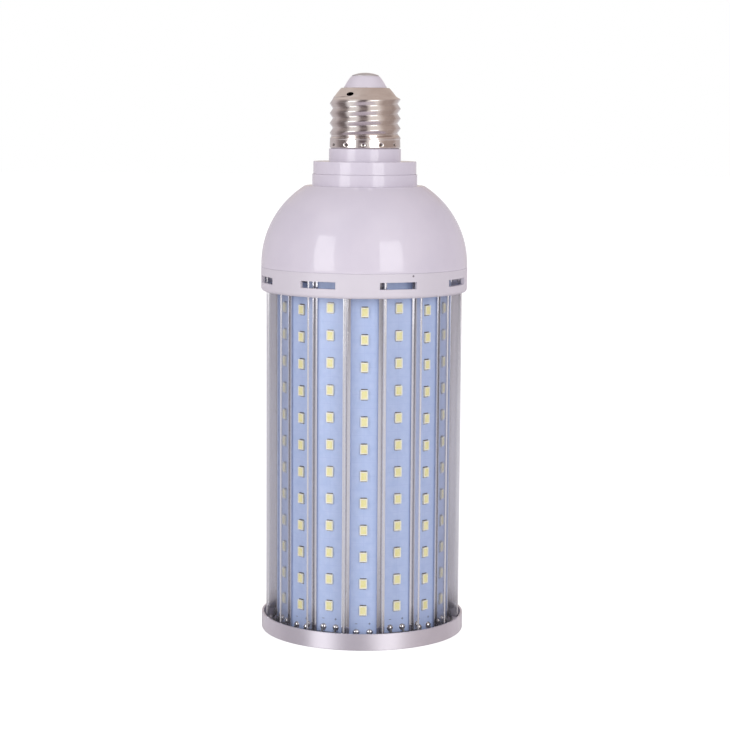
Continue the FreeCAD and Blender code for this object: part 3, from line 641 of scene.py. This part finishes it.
chip_middle = strip_foot + strip_end
chip = add_block("chip", (-chip_width / 2, -board_face - chip_thick, chip_middle - chip_tall / 2),
                 (chip_width / 2, -board_face, chip_middle + chip_tall / 2))
round_edges(chip, chip_edge, segments=1, angle=60)
pick(chip, lambda face: face.normal.y < -facing)
bpy.ops.mesh.inset(thickness=chip_rim * MM, depth=0)
bpy.ops.mesh.inset(thickness=cup_lean * MM, depth=-cup_depth * MM)
bpy.ops.object.mode_set(mode="OBJECT")
# The upper tab is tinted darker than the lower one as painted shade along the chip's top edge.
for finish in (chip_frame(), phosphor(),
               tinned_tab("tab_tin_painted_shade", (0.10, 0.09, 0.09), (0.26, 0.24, 0.23)),
               tinned_tab("tab_tin", (0.22, 0.21, 0.20), (0.38, 0.37, 0.36))):
    chip.data.materials.append(finish)
paint(chip, 1, lambda face: face.select)
tabs = []
for side, finish in ((1, 2), (-1, 3)):
    ends = sorted((chip_middle + side * (chip_tall / 2 - tab_under),
                   chip_middle + side * (chip_tall / 2 + tab_reach)))
    tab = add_block("tab", (-tab_half, -board_face - tab_thick, ends[0]),
                    (tab_half, -board_face, ends[1]))
    for material in chip.data.materials:
        tab.data.materials.append(material)
    paint(tab, finish, lambda face: True)
    tabs.append(tab)
join_to(chip, tabs)
chip.name = "chip_row"
apply_modifier(chip, "ARRAY", count=chips, use_relative_offset=False, use_constant_offset=True,
               constant_offset_displace=(0, 0, chip_pitch * MM))
for index, piece in enumerate(copies_round(chip, "chips")):
    fit(piece, "light_chip", "chip_row_%02d" % (index + 1))


# Joints and leads. Each board ends in two soldered joints near its foot. Short tinned
# links hidden behind the rim join board to board, and two leads feed the chain.

joint_radius = 1.15
joint_rise = 0.9
joint_sunk = 0.05
joint_flare = 0.12
joint_droop = 1.12
joint_narrow = 0.12
joint_thin = 0.25


def bright_solder():
    """Shiny solder with a soft dimple here and there, as it froze."""
    material, tree, shader = new_finish("bright_solder")
    frozen = noise(tree, on_piece(tree), 700, detail=3)
    tint(tree, shader, frozen, (0.42, 0.41, 0.43), (0.70, 0.69, 0.71))
    shader.inputs["Metallic"].default_value = 1.0
    roughen(tree, shader, frozen, 0.08, 0.2)
    bumped(tree, shader, frozen, 0.05)
    return material


def add_joint(x):
    """A drop of solder: flared where it wets the pad, drawn down along its lead."""
    start_clean()
    bpy.ops.mesh.primitive_uv_sphere_add(
        segments=20, ring_count=12, radius=joint_radius * MM,
        location=Vector((x, -board_face, strip_foot + joint_up)) * MM,
        rotation=(math.radians(90), 0, 0))
    drop = bpy.context.object
    bpy.ops.object.transform_apply(location=True, rotation=True, scale=True)
    bpy.ops.object.mode_set(mode="EDIT")
    bpy.ops.mesh.select_all(action="SELECT")
    bpy.ops.mesh.bisect(plane_co=(0, -(board_face - joint_sunk) * MM, 0), plane_no=(0, 1, 0),
                        clear_outer=True, use_fill=True)
    bpy.ops.object.mode_set(mode="OBJECT")
    for vertex in drop.data.vertices:
        out = (-vertex.co.y / MM - board_face) / joint_radius
        up = (vertex.co.z / MM - strip_foot - joint_up) / joint_radius
        below = max(0, -up)
        flare = 1 + joint_flare * max(0, 1 - 3 * out)
        vertex.co.x = (x + (vertex.co.x / MM - x) * flare * (1 - joint_narrow * below)) * MM
        vertex.co.z = (strip_foot + joint_up + up * joint_radius * flare
                       * (joint_droop if up < 0 else 1)) * MM
        vertex.co.y = -(board_face + out * joint_rise * (1 - joint_thin * below)) * MM
    return drop


joint = add_joint(-joint_spread)
join_to(joint, [add_joint(joint_spread)])
joint.data.materials.append(bright_solder())
for piece in copies_round(joint, "joints"):
    fit(piece, "solder", smooth=60)


def dress(material, *nodes):
    """Give CAD pieces that keep their own shape a finish."""
    for node in nodes:
        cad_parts[node].data.materials.clear()
        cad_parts[node].data.materials.append(material)


def moulded(name, dark, light, rough_low, rough_high, skin=0.004):
    """Moulded plastic or sleeving with a faint orange-peel skin and uneven shade."""
    material, tree, shader = new_finish(name)
    shade = noise(tree, on_piece(tree), 45, detail=3)
    peel = noise(tree, on_piece(tree), 900, detail=2)
    tint(tree, shader, shade, dark, light)
    roughen(tree, shader, shade, rough_low, rough_high)
    bumped(tree, shader, peel, skin)
    return material


# The hidden tinned links are coloured near black as painted shade below the joints.
dress(moulded("tin_links_painted_shade", (0.10, 0.10, 0.11), (0.19, 0.19, 0.20), 0.5, 0.65), "board_links")
lead_sleeve = moulded("lead_sleeve", (0.66, 0.63, 0.60), (0.76, 0.74, 0.71), 0.4, 0.55)
dress(lead_sleeve, "feed_leads", "contact_lead", "shell_lead")


# Slotted collar. A white moulded ring over the fin tops with eight vent slots in its
# skirt, a floor that screws down to the column and three posts for the driver board.

collar_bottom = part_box("slotted_collar")[0].z / MM
collar_outer = 38.65
collar_inner = 37.25
collar_corner = 1.3
collar_edge = 0.14
floor_top = column_top + 2.0
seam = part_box("domed_housing")[0].z / MM
dome_base = 38.6
dome_wall = 2.2
lip_outer = dome_base - dome_wall - 0.35
lip_wall = 1.1
lip_top_height = seam + 3.0
slot_count = 8
slot_turn = 19.0
slot_angle = 21.0
slot_top = column_top - 0.3
slot_bottom = slot_top - 2.5
post_count = 3
post_circle = 23.0
post_boss = 3.2
post_hole = 1.0
post_hole_deep = 4.4
post_sunk = 1.0
pip_turn = 27.3
pip_down = 0.9
board_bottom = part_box("driver_board")[0].z / MM


def satin_white():
    """White plastic, drier than the dome, with one dark pip beside the seam."""
    material = moulded("satin_white", (0.67, 0.635, 0.68), (0.71, 0.675, 0.72), 0.42, 0.5)
    tree = material.node_tree
    shader = tree.nodes["Principled BSDF"]
    colour = shader.inputs["Base Color"].links[0].from_socket
    place = add_node(tree, "TexCoord").outputs["Object"]
    away = add_node(tree, "VectorMath", {"operation": "DISTANCE"}, Vector=place)
    away.inputs[1].default_value = around_axis(collar_outer, pip_turn, seam - pip_down) * MM
    near = remap(tree, away.outputs["Value"], 1, 0, lowest=0.22 * MM, highest=0.5 * MM)
    spotted = blend_colours(tree, near, colour, (0.14, 0.12, 0.14))
    tree.links.new(spotted, shader.inputs["Base Color"])
    return material


collar_section = [
    (0, column_top),
    (collar_inner, column_top),
    (collar_inner, slot_top),
    (collar_inner, slot_bottom),
    (collar_inner, collar_bottom),
    (collar_outer - collar_corner, collar_bottom),
]
collar_section += curve_between(
    collar_section[-1], (collar_outer, collar_bottom + collar_corner), collar_corner, 6)
collar_section += [
    (collar_outer, slot_bottom),
    (collar_outer, slot_top),
    (collar_outer, seam),
    (lip_outer, seam),
    (lip_outer, lip_top_height),
    (lip_outer - lip_wall, lip_top_height),
    (lip_outer - lip_wall, floor_top),
    (0, floor_top),
]
# One degree a step, set so that mesh lines run along the ends of the slots.
collar = turn_piece("slotted_ring", collar_section, steps=360, start=0.5)
for index in range(slot_count):
    middle = slot_turn + 360 / slot_count * index

    def in_slot(face):
        height = face.center.z / MM
        angle = math.degrees(math.atan2(face.center.x, -face.center.y)) - middle
        angle = (angle + 180) % 360 - 180
        upright = abs(face.normal.z) < 0.1 and face.center.xy.length > (collar_inner - 0.1) * MM
        return upright and slot_bottom < height < slot_top and abs(angle) < slot_angle / 2

    pick(collar, in_slot)
    bpy.ops.mesh.bridge_edge_loops()
bpy.ops.object.mode_set(mode="OBJECT")
posts = []
for index in range(post_count):
    start_clean()
    base = around_axis(post_circle, column_turn + 360 / post_count * index, 0)
    bpy.ops.mesh.primitive_cylinder_add(
        vertices=40, radius=post_boss * MM, depth=(board_bottom - floor_top + post_sunk) * MM,
        location=(base + Vector((0, 0, (board_bottom + floor_top - post_sunk) / 2))) * MM)
    post = bpy.context.object
    bpy.ops.object.transform_apply(location=True, rotation=True, scale=True)
    pick(post, lambda face: face.normal.z > facing)
    bpy.ops.mesh.inset(thickness=(post_boss - post_hole) * MM)
    extrude_up(-post_hole_deep)
    bpy.ops.object.mode_set(mode="OBJECT")
    posts.append(post)
round_edges(collar, collar_edge, segments=2, angle=50)
join_to(collar, posts)
collar.data.materials.append(satin_white())
fit(collar, "white_plastic", "slotted_collar")


# Driver board and the parts on it, shut up in the dome, with the small screws that hold
# the board and the collar. They keep the shapes of their CAD pieces.

dress(moulded("fibre_board", (0.10, 0.26, 0.13), (0.16, 0.36, 0.19), 0.4, 0.6), "driver_board")
dress(moulded("capacitor_sleeve", (0.015, 0.018, 0.03), (0.03, 0.035, 0.06), 0.25, 0.4),
      "storage_capacitor")
dress(moulded("film_case", (0.52, 0.30, 0.04), (0.66, 0.42, 0.08), 0.4, 0.55), "film_capacitor")
dress(moulded("ferrite", (0.03, 0.03, 0.032), (0.07, 0.07, 0.072), 0.5, 0.7), "power_transformer")
dress(moulded("chip_case", (0.012, 0.012, 0.013), (0.03, 0.03, 0.032), 0.5, 0.65),
      "bridge_rectifier", "driver_chip")
dress(moulded("fuse_sleeve", (0.20, 0.34, 0.24), (0.28, 0.44, 0.32), 0.35, 0.5), "fuse_resistor")
dress(tinned_tab("screw_steel", (0.42, 0.42, 0.43), (0.62, 0.62, 0.63)),
      "foot_screws", "collar_screws", "board_screws")


# Dome. A moulded white shell set on the collar, round-shouldered, rising to a short
# spout. Glossier than the collar.

dome_flat = 168.2
dome_curve = 34.6
dome_top = 22.3
dome_ceiling = 21.6
dome_edge = 0.18
spout_outer = 19.63
spout_bore = 17.35
spout_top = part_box("domed_housing")[1].z / MM


def glossy_white():
    """White moulded plastic with a clear gloss and a very slight lilac cast."""
    material = moulded("glossy_white", (0.68, 0.64, 0.715), (0.73, 0.685, 0.75), 0.07, 0.11,
                       skin=0.002)
    material.node_tree.nodes["Principled BSDF"].inputs["Specular IOR Level"].default_value = 0.38
    return material


dome_section = [(dome_base, seam)]
dome_section += curve_between(dome_section[-1], (dome_top, dome_flat), dome_curve, 36)
dome_section += [
    (spout_outer, dome_flat),
    (spout_outer, spout_top),
    (spout_bore, spout_top),
    (spout_bore, dome_flat - dome_wall),
]
inside = [(dome_base - dome_wall, seam)]
inside += curve_between(inside[-1], (dome_ceiling, dome_flat - dome_wall),
                        dome_curve - dome_wall, 30)
dome_section += reversed(inside)
dome = turn_piece("dome_shell", dome_section, steps=240)
round_edges(dome, dome_edge, segments=3, angle=28)
white_gloss = glossy_white()
dome.data.materials.append(white_gloss)
fit(dome, "white_plastic", "domed_housing", smooth=28)


# Neck adapter. A white moulding pushed down into the spout: a wide step, a narrower
# collar and, inside the screw shell, the stub that carries it.

spigot_outer = 17.2
spigot_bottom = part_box("neck_adapter")[0].z / MM
stub_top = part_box("neck_adapter")[1].z / MM
step_outer = 19.24
step_top = 177.2
neck_outer = 13.42
neck_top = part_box("screw_shell")[0].z / MM
neck_wall = 1.9
skirt_inner = 12.65
ridge_low = 184.35
stub_outer = 11.65
neck_edge = 0.18

adapter_section = [
    (spigot_outer - neck_wall, spigot_bottom),
    (spigot_outer, spigot_bottom),
    (spigot_outer, spout_top),
    (step_outer, spout_top),
    (step_outer, step_top),
    (neck_outer, step_top),
    (neck_outer, neck_top),
    (skirt_inner, neck_top),
    (skirt_inner, ridge_low - neck_wall),
    (stub_outer, ridge_low),
    (stub_outer, stub_top),
    (stub_outer - neck_wall, stub_top),
    (stub_outer - neck_wall, step_top - neck_wall),
    (spigot_outer - neck_wall, step_top - neck_wall),
]
adapter = turn_piece("neck_moulding", adapter_section, steps=200)
round_edges(adapter, neck_edge, segments=3, angle=35)
adapter.data.materials.append(white_gloss)
fit(adapter, "white_plastic", "neck_adapter")


# Screw shell. Thin plated sheet rolled into a right-hand thread, its skirt punched all
# round to bite the neck, its shoulder drawn in over the insulator, with one round hole.

sheet = 0.3
skirt_outer = 13.1
thread_root = 12.1
thread_crest = 13.2
thread_pitch = 3.629
thread_start = 185.8
thread_end = thread_start + 4 * thread_pitch
shell_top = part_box("screw_shell")[1].z / MM
shoulder_top = 8.95
shoulder_curve = 30.0
mouth = 7.9
hole_turn = -31.0
hole_wide = 1.5
hole_tall = 0.72
hole_height = shell_top - 2.35
hole_cutter = 8.0
stake_count = 12
stake_turn = -2.7
stake_height = neck_top + 1.5
stake_radius = 0.8
stake_depth = 0.62
stake_rim = 0.07
skirt_lift = 0.2
skirt_curl = 0.22
curl_height = 0.35
root_fade = (thread_start - 0.3, thread_start + 1.2)
swell_in = (thread_start - 0.6, thread_start + 1.4)
swell_out = (thread_end - 0.4, thread_end + 1.2)
ridge_sharpness = 0.985
shell_steps = 216


def smooth_step(low, high, value):
    share = min(1, max(0, (value - low) / (high - low)))
    return share * share * (3 - 2 * share)


def shell_radius(angle, height, plain):
    """The rolled form: skirt, then crests that climb to the right and die in the shoulder."""
    base = min(plain, skirt_outer + (thread_root - skirt_outer) * smooth_step(*root_fade, height))
    base -= skirt_curl * max(0, 1 - (height - neck_top - skirt_lift) / curl_height) ** 2
    crest = thread_start + thread_pitch * (angle - 90) / 360
    turned = math.cos(2 * math.pi * (height - crest) / thread_pitch)
    wave = 0.5 + 0.5 * math.asin(ridge_sharpness * turned) / math.asin(ridge_sharpness)
    swell = smooth_step(*swell_in, height) * (1 - smooth_step(*swell_out, height))
    return base + (thread_crest - thread_root) * wave * swell


def stake_dent(angle, height):
    """How far a punch mark pushes the skirt in: a cone with a slightly raised rim."""
    pitch = 360 / stake_count
    aside = (angle - stake_turn + pitch / 2) % pitch - pitch / 2
    away = math.hypot(math.radians(aside) * skirt_outer, height - stake_height) / stake_radius
    return stake_depth * max(0, 1 - away) - stake_rim * max(0, 1 - abs(away - 1.1) / 0.4)


def plated_shell():
    """Bright nickel plate, warm in tone, rubbed along the thread by the rollers."""
    material, tree, shader = new_finish("plated_shell")
    rubbed = noise(tree, on_piece(tree, (1, 1, 30)), 120, detail=3)
    patch = noise(tree, on_piece(tree), 160, detail=4)
    plate = blend_colours(tree, remap(tree, patch, 0, 1), (0.66, 0.60, 0.58), (0.78, 0.72, 0.70))
    place = add_node(tree, "SeparateXYZ", Vector=on_piece(tree)).outputs
    level = add_node(tree, "CombineXYZ", X=place["X"], Y=place["Y"]).outputs["Vector"]
    away = add_node(tree, "VectorMath", {"operation": "LENGTH"}, Vector=level).outputs["Value"]
    # Painted shade: the bottoms of the punch marks go almost black, and the curled foot of the
    # skirt a little darker.
    deep = remap(tree, away, 1, 0, (skirt_outer - 0.4) * MM, (skirt_outer - 0.15) * MM)
    low = remap(tree, place["Z"], 1, 0, (stake_height + 0.9) * MM, (stake_height + 1.0) * MM)
    painted_dent_shade = reckon(tree, "MULTIPLY", deep, low)
    colour = blend_colours(tree, painted_dent_shade, plate, (0.05, 0.045, 0.04))
    tree.links.new(colour, shader.inputs["Base Color"])
    shader.inputs["Metallic"].default_value = 1.0
    roughen(tree, shader, patch, 0.10, 0.18)
    bumped(tree, shader, rubbed, 0.006)
    return material


skirt_rows = 24
thread_rows = 118
foot_line = neck_top + skirt_lift
heights = [foot_line + (thread_start - foot_line) * index / skirt_rows
           for index in range(skirt_rows)]
heights += [thread_start + (thread_end - thread_start) * index / thread_rows
            for index in range(thread_rows)]
shell_line = [(0, -skirt_outer, height) for height in heights]
shell_line.append((0, -thread_root, thread_end))
shell_line += [(0, -r, z) for r, z in curve_between(
    (thread_root, thread_end), (shoulder_top, shell_top), shoulder_curve, 22)]
shell_line.append((0, -mouth, shell_top))
shell = draw_line("screw_shell_sheet", shell_line)
spin_round(shell_steps)
for vertex in shell.data.vertices:
    height = vertex.co.z / MM
    angle = math.degrees(math.atan2(vertex.co.x, -vertex.co.y))
    radius = shell_radius(angle, height, vertex.co.xy.length / MM) - stake_dent(angle, height)
    vertex.co.xy = vertex.co.xy.normalized() * radius * MM
apply_modifier(shell, "SOLIDIFY", thickness=sheet * MM, offset=-1)
start_clean()
bpy.ops.mesh.primitive_cylinder_add(
    vertices=40, radius=MM, depth=hole_cutter * MM,
    location=around_axis(thread_root, hole_turn, hole_height) * MM,
    rotation=(math.radians(90), 0, math.radians(hole_turn)), scale=(hole_wide, hole_tall, 1))
bpy.ops.object.transform_apply(location=True, rotation=True, scale=True)
cut_away(shell, bpy.context.object)
shell.data.materials.append(plated_shell())
fit(shell, "nickel_shell", "screw_shell", smooth=50)


# Insulator. A white moulded cone held in the mouth of the shell, lipped at its foot.

cone_foot = 7.95
cone_top_radius = 5.25
cone_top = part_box("cap_insulator")[1].z / MM
cone_curve = 16.0
plug_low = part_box("cap_insulator")[0].z / MM
cone_lip = 0.45
cone_step_in = 0.25
cone_step_up = 0.6
plug_outer = 7.85
plug_taper = 0.1
stem_hole = 1.65
cone_edge = 0.12

cone_section = [
    (stem_hole, plug_low),
    (plug_outer, plug_low),
    (plug_outer - plug_taper, shell_top),
    (cone_foot, shell_top),
    (cone_foot, shell_top + cone_lip),
    (cone_foot - cone_step_in, shell_top + cone_step_up),
]
cone_section += curve_between(cone_section[-1], (cone_top_radius, cone_top), cone_curve, 16)
cone_section.append((stem_hole, cone_top))
cone = turn_piece("cap_cone", cone_section, steps=144)
round_edges(cone, cone_edge, segments=2, angle=40)
cone.data.materials.append(moulded(
    "cap_porcelain", (0.69, 0.645, 0.70), (0.75, 0.705, 0.76), 0.28, 0.4, skin=0.003))
fit(cone, "white_insulator", "cap_insulator")


# Centre contact. A small domed disc of plated brass, its stem closed over underneath.

contact_outer = 5.0
contact_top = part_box("centre_contact")[1].z / MM
contact_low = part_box("centre_contact")[0].z / MM
stem = 1.5
contact_shoulder = cone_top + 0.3
contact_edge = 0.08
crown = contact_top - contact_shoulder
contact_curve = (contact_outer ** 2 + crown ** 2) / (2 * crown)


def worn_contact():
    """Grey plated metal, dulled by the drawing of the cap."""
    material, tree, shader = new_finish("worn_contact")
    rings = noise(tree, on_piece(tree, (1, 1, 20)), 500, detail=3)
    tint(tree, shader, rings, (0.54, 0.52, 0.54), (0.70, 0.68, 0.70))
    shader.inputs["Metallic"].default_value = 1.0
    roughen(tree, shader, rings, 0.55, 0.65)
    bumped(tree, shader, rings, 0.008)
    return material


contact_section = [
    (0, contact_low),
    (stem, contact_low),
    (stem, cone_top),
    (contact_outer, cone_top),
    (contact_outer, contact_shoulder),
]
contact_section += curve_between(contact_section[-1], (0, contact_top), contact_curve, 14)
contact = turn_piece("contact_disc", contact_section, steps=96)
round_edges(contact, contact_edge, segments=2, angle=50)
contact.data.materials.append(worn_contact())
fit(contact, "contact_metal", "centre_contact")


# Studio. A pale floor, two tall soft boxes either side of the camera, and a pale room
# with darker corners, which only shows where polished metal mirrors it.

box_away = 1.2
box_glow = 3.7
wall_tones = [
    (-180, (0.78, 0.77, 0.79)),
    (-175, (0.78, 0.77, 0.79)),
    (-170, (0.66, 0.62, 0.64)),
    (-118, (0.62, 0.58, 0.59)),
    (-106, (0.48, 0.43, 0.44)),
    (-95, (0.28, 0.24, 0.24)),
    (-84, (0.20, 0.17, 0.17)),
    (-70, (0.17, 0.14, 0.14)),
    (-63, (0.52, 0.50, 0.51)),
    (-55, (1.0, 1.0, 1.0)),
    (-31, (1.0, 1.0, 1.0)),
    (-24, (0.60, 0.56, 0.58)),
    (-17, (0.18, 0.15, 0.16)),
    (2, (0.17, 0.14, 0.15)),
    (8, (0.72, 0.68, 0.67)),
    (14, (1.02, 1.0, 0.98)),
    (43, (1.02, 0.98, 0.94)),
    (55, (0.68, 0.60, 0.56)),
    (68, (0.48, 0.40, 0.36)),
    (104, (0.43, 0.35, 0.32)),
    (113, (0.45, 0.38, 0.35)),
    (124, (0.62, 0.56, 0.55)),
    (170, (0.66, 0.62, 0.63)),
    (175, (0.74, 0.73, 0.75)),
    (180, (0.78, 0.77, 0.79)),
]
roof_left = (0.73, 0.66, 0.62)
roof_right = (0.61, 0.52, 0.47)
table_tone = (0.84, 0.825, 0.87)
under_tone = (0.26, 0.24, 0.26)
front_light = (0.42, 0.395, 0.445)
back_light = (0.92, 0.84, 0.90)
floor_glow = 1.7


def add_soft_box(name, azimuth, width, low, high, lean):
    """A tall panel that faces the lamp. Its place is an angle from the front towards +X."""
    start_clean()
    place = around_axis(box_away, azimuth, (low + high) / 2)
    bpy.ops.object.light_add(type="AREA", location=place)
    panel = bpy.context.object
    panel.name = name
    panel.data.shape = "RECTANGLE"
    panel.data.size = width
    panel.data.size_y = high - low
    panel.data.energy = box_glow * math.pi * width * (high - low)
    panel.matrix_world = (
        Matrix.Translation(place)
        @ Matrix.Rotation(math.radians(azimuth), 4, "Z")
        @ Matrix.Rotation(math.radians(90), 4, "X")
        @ Matrix.Rotation(math.radians(lean), 4, "Z"))
    panel.visible_camera = False


def either_shader(tree, share, first, second):
    node = add_node(tree, "MixShader", Fac=share)
    tree.links.new(first, node.inputs[1])
    tree.links.new(second, node.inputs[2])
    return node.outputs[0]


add_soft_box("soft_box_left", -46, 0.50, 0.04, 0.98, 6)
add_soft_box("soft_box_right", 30.5, 0.54, 0.04, 0.86, -2)

room = bpy.data.worlds.new("studio_room")
room.use_nodes = True
bpy.context.scene.world = room
tree = room.node_tree
tree.nodes.clear()
way = add_node(tree, "TexCoord").outputs["Generated"]
parts = add_node(tree, "SeparateXYZ", Vector=way).outputs
ahead = reckon(tree, "SUBTRACT", 1.0, parts["Y"])
# The walls go by the turn of the surface that would mirror them to the front.
around = reckon(tree, "ARCTAN2", parts["X"], ahead)
walls = add_node(tree, "ValToRGB", Fac=remap(tree, around, 0, 1, -math.pi / 2, math.pi / 2))
stops = walls.color_ramp.elements
for place, (angle, tone) in enumerate(wall_tones):
    spot = (angle + 180) / 360
    stop = stops[place] if place < 2 else stops.new(spot)
    stop.position = spot
    stop.color = (*tone, 1)
# The roof and the dark below go by the tilt of that surface, the table by height alone.
tilt = reckon(tree, "DIVIDE", parts["Z"],
              reckon(tree, "SQRT", reckon(tree, "MULTIPLY", 2.0, ahead)))
table = reckon(tree, "MULTIPLY", remap(tree, parts["Z"], 0, 1, -0.085, -0.12),
               remap(tree, parts["Z"], 0, 1, -0.24, -0.228))
roof = blend_colours(tree, remap(tree, parts["X"], 0, 1, -0.5, 0.3), roof_left, roof_right)
mirrored = blend_colours(tree, table, walls.outputs["Color"], table_tone)
mirrored = blend_colours(tree, remap(tree, tilt, 0, 1, 0.55, 0.59), mirrored, roof)
mirrored = blend_colours(tree, remap(tree, tilt, 0, 1, -0.57, -0.64), mirrored, under_tone)
backwards = add_node(tree, "VectorMath", {"operation": "DOT_PRODUCT"}, Vector=way)
backwards.inputs[1].default_value = (0.3, 0.95, 0)
behind = remap(tree, backwards.outputs["Value"], 0, 1, -0.2, 0.8)
ray = add_node(tree, "LightPath").outputs
soft = blend_colours(tree, ray["Is Glossy Ray"],
                     blend_colours(tree, behind, front_light, back_light), mirrored)
shown = blend_colours(tree, ray["Is Camera Ray"], soft, (1.0, 1.0, 1.0))
glow = add_node(tree, "Background", Color=shown)
add_node(tree, "OutputWorld", Surface=glow.outputs[0])

start_clean()
bpy.ops.mesh.primitive_plane_add(size=12)
floor = bpy.context.object
floor.name = "floor"
floor.visible_glossy = False
paper = bpy.data.materials.new("floor_paper")
paper.use_nodes = True
tree = paper.node_tree
tree.nodes.clear()
grain = noise(tree, add_node(tree, "TexCoord").outputs["Object"], 400)
pale = blend_colours(tree, remap(tree, grain, 0, 1), (0.87, 0.87, 0.87), (0.89, 0.89, 0.89))
matt = add_node(tree, "BsdfDiffuse", Color=pale).outputs[0]
shine = add_node(tree, "Emission", Color=(1, 1, 1), Strength=floor_glow).outputs[0]
lit = either_shader(tree, 0.5, matt, shine)
ray = add_node(tree, "LightPath").outputs
add_node(tree, "OutputMaterial", Surface=either_shader(tree, ray["Is Camera Ray"], matt, lit))
floor.data.materials.append(paper)

bpy.context.scene.view_settings.view_transform = "Standard"


# Camera. It stands level with the neck of the lamp, about 0.76 m in front of it, and
# looks slightly down, with the small roll of the photograph.

camera_place = (0.00054, -0.7632, 0.1939)
look_down = 6.97
camera_roll = 0.377
camera_data = bpy.data.cameras.new("camera")
camera_data.sensor_width = 36
camera_data.lens = 100.36
camera_data.clip_start = 0.01
camera_data.clip_end = 50
camera = bpy.data.objects.new("camera", camera_data)
bpy.context.scene.collection.objects.link(camera)
camera.matrix_world = (
    Matrix.Translation(camera_place)
    @ Matrix.Rotation(math.radians(90 - look_down), 4, "X")
    @ Matrix.Rotation(math.radians(camera_roll), 4, "Z"))
bpy.context.scene.camera = camera
